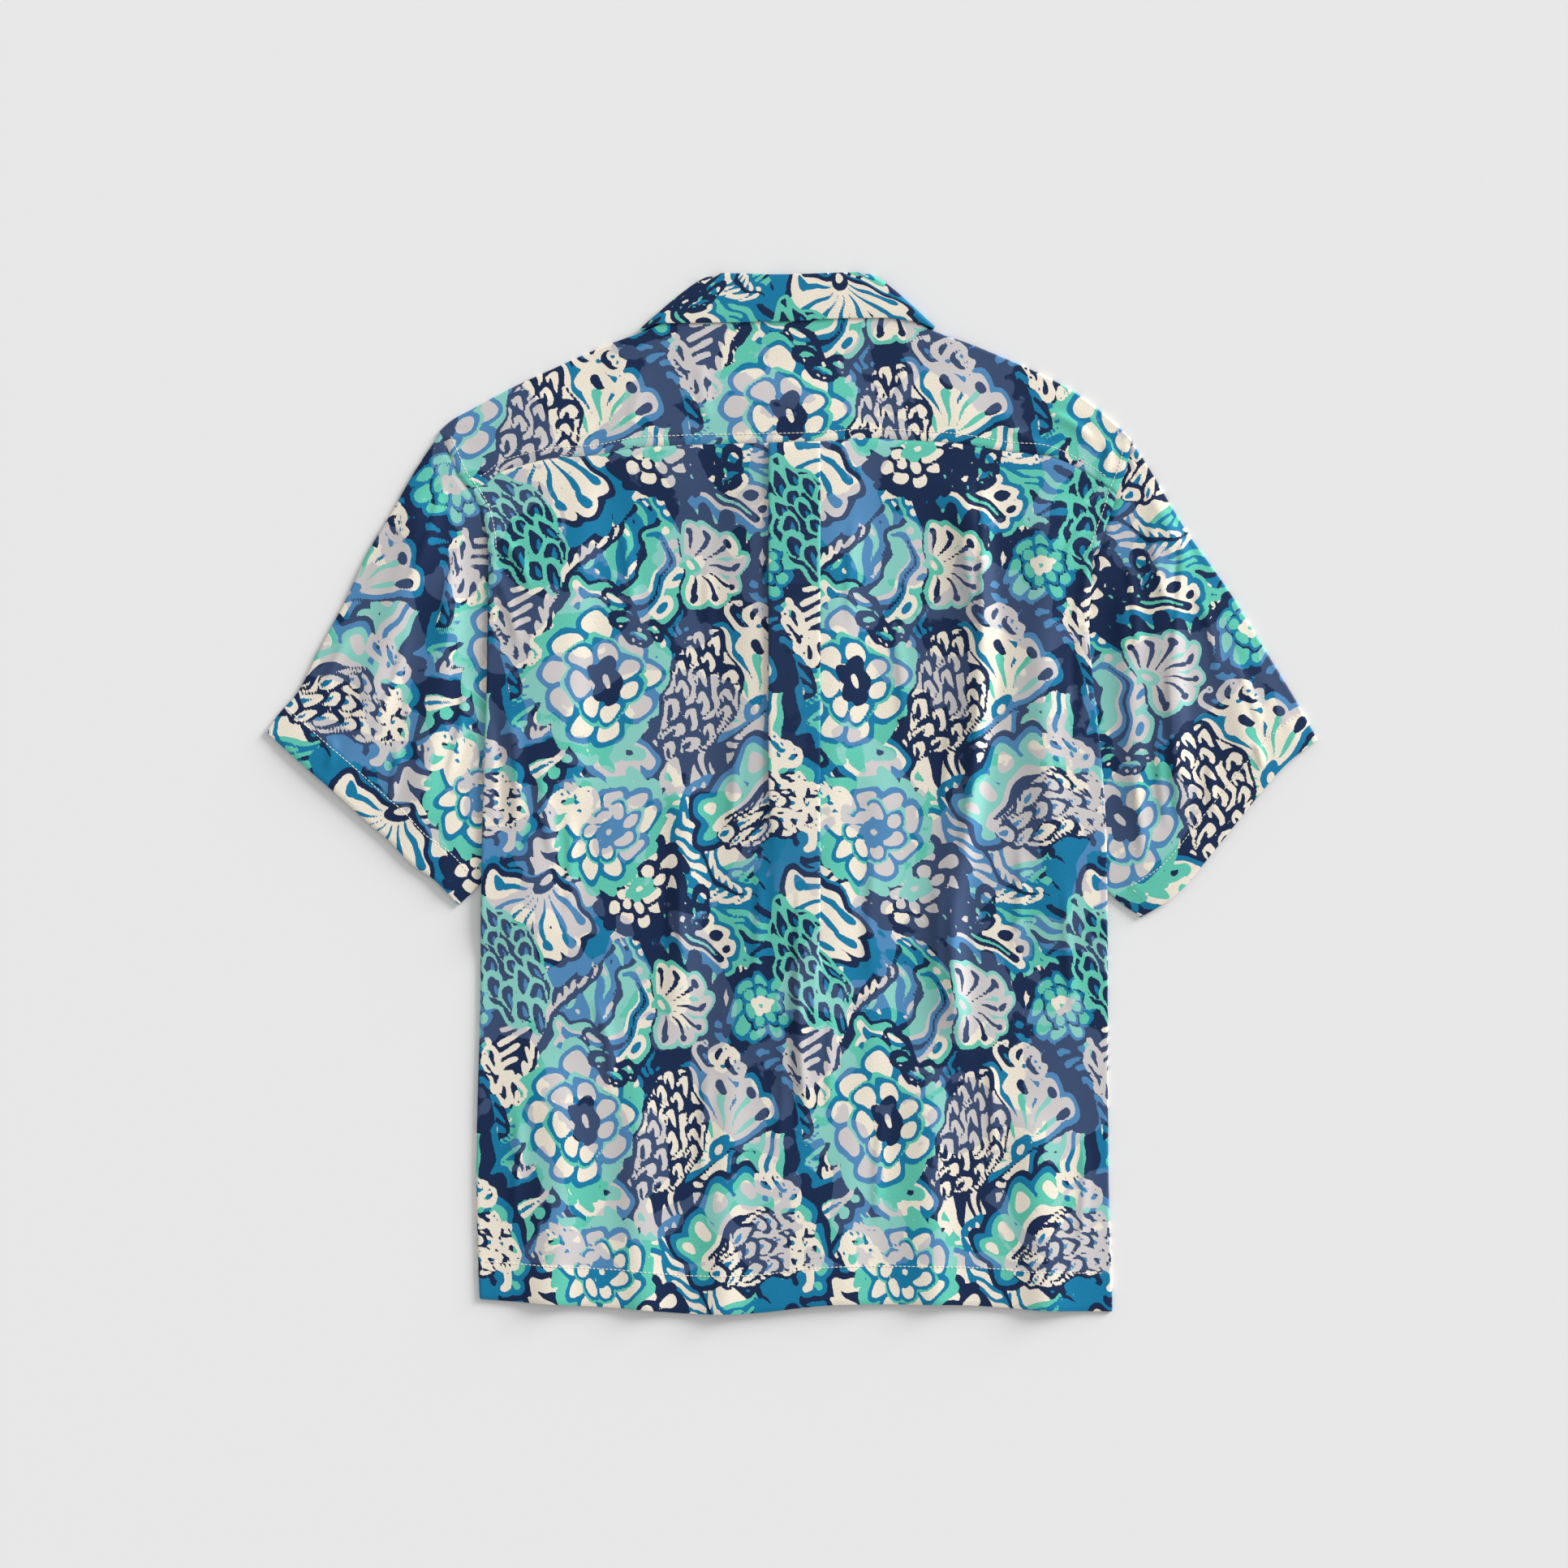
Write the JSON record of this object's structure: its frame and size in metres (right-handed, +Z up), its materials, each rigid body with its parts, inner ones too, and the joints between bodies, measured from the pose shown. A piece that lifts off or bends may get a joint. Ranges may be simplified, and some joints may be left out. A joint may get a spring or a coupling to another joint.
{
  "type": "camp collar shirt",
  "caption": "Short-sleeved printed camp collar shirt with a back yoke and a centre box pleat, laid flat on its fronts with its back up.",
  "frame": {"origin": "centre of the shirt's outline, on the surface that it lies on", "axes": "+X across the shirt to the wearer's right sleeve, +Y from the hem up to the collar, +Z up from the surface, out of the back"},
  "size_m": [0.79, 0.7818, 0.0112],
  "materials": {
    "printed_cloth": "light semi-sheer plain weave with a soft sheen, printed in cream, navy, teal blue and mint",
    "button": "polished pale shell look"
  },
  "bodies": {
    "root": {"back": "printed_cloth", "yoke": "printed_cloth", "collar": "printed_cloth", "front_left": "printed_cloth", "front_right": "printed_cloth", "sleeve_left": "printed_cloth", "sleeve_right": "printed_cloth", "button_1": "button", "button_2": "button", "button_3": "button", "button_4": "button", "button_5": "button"}
  },
  "joints": []
}
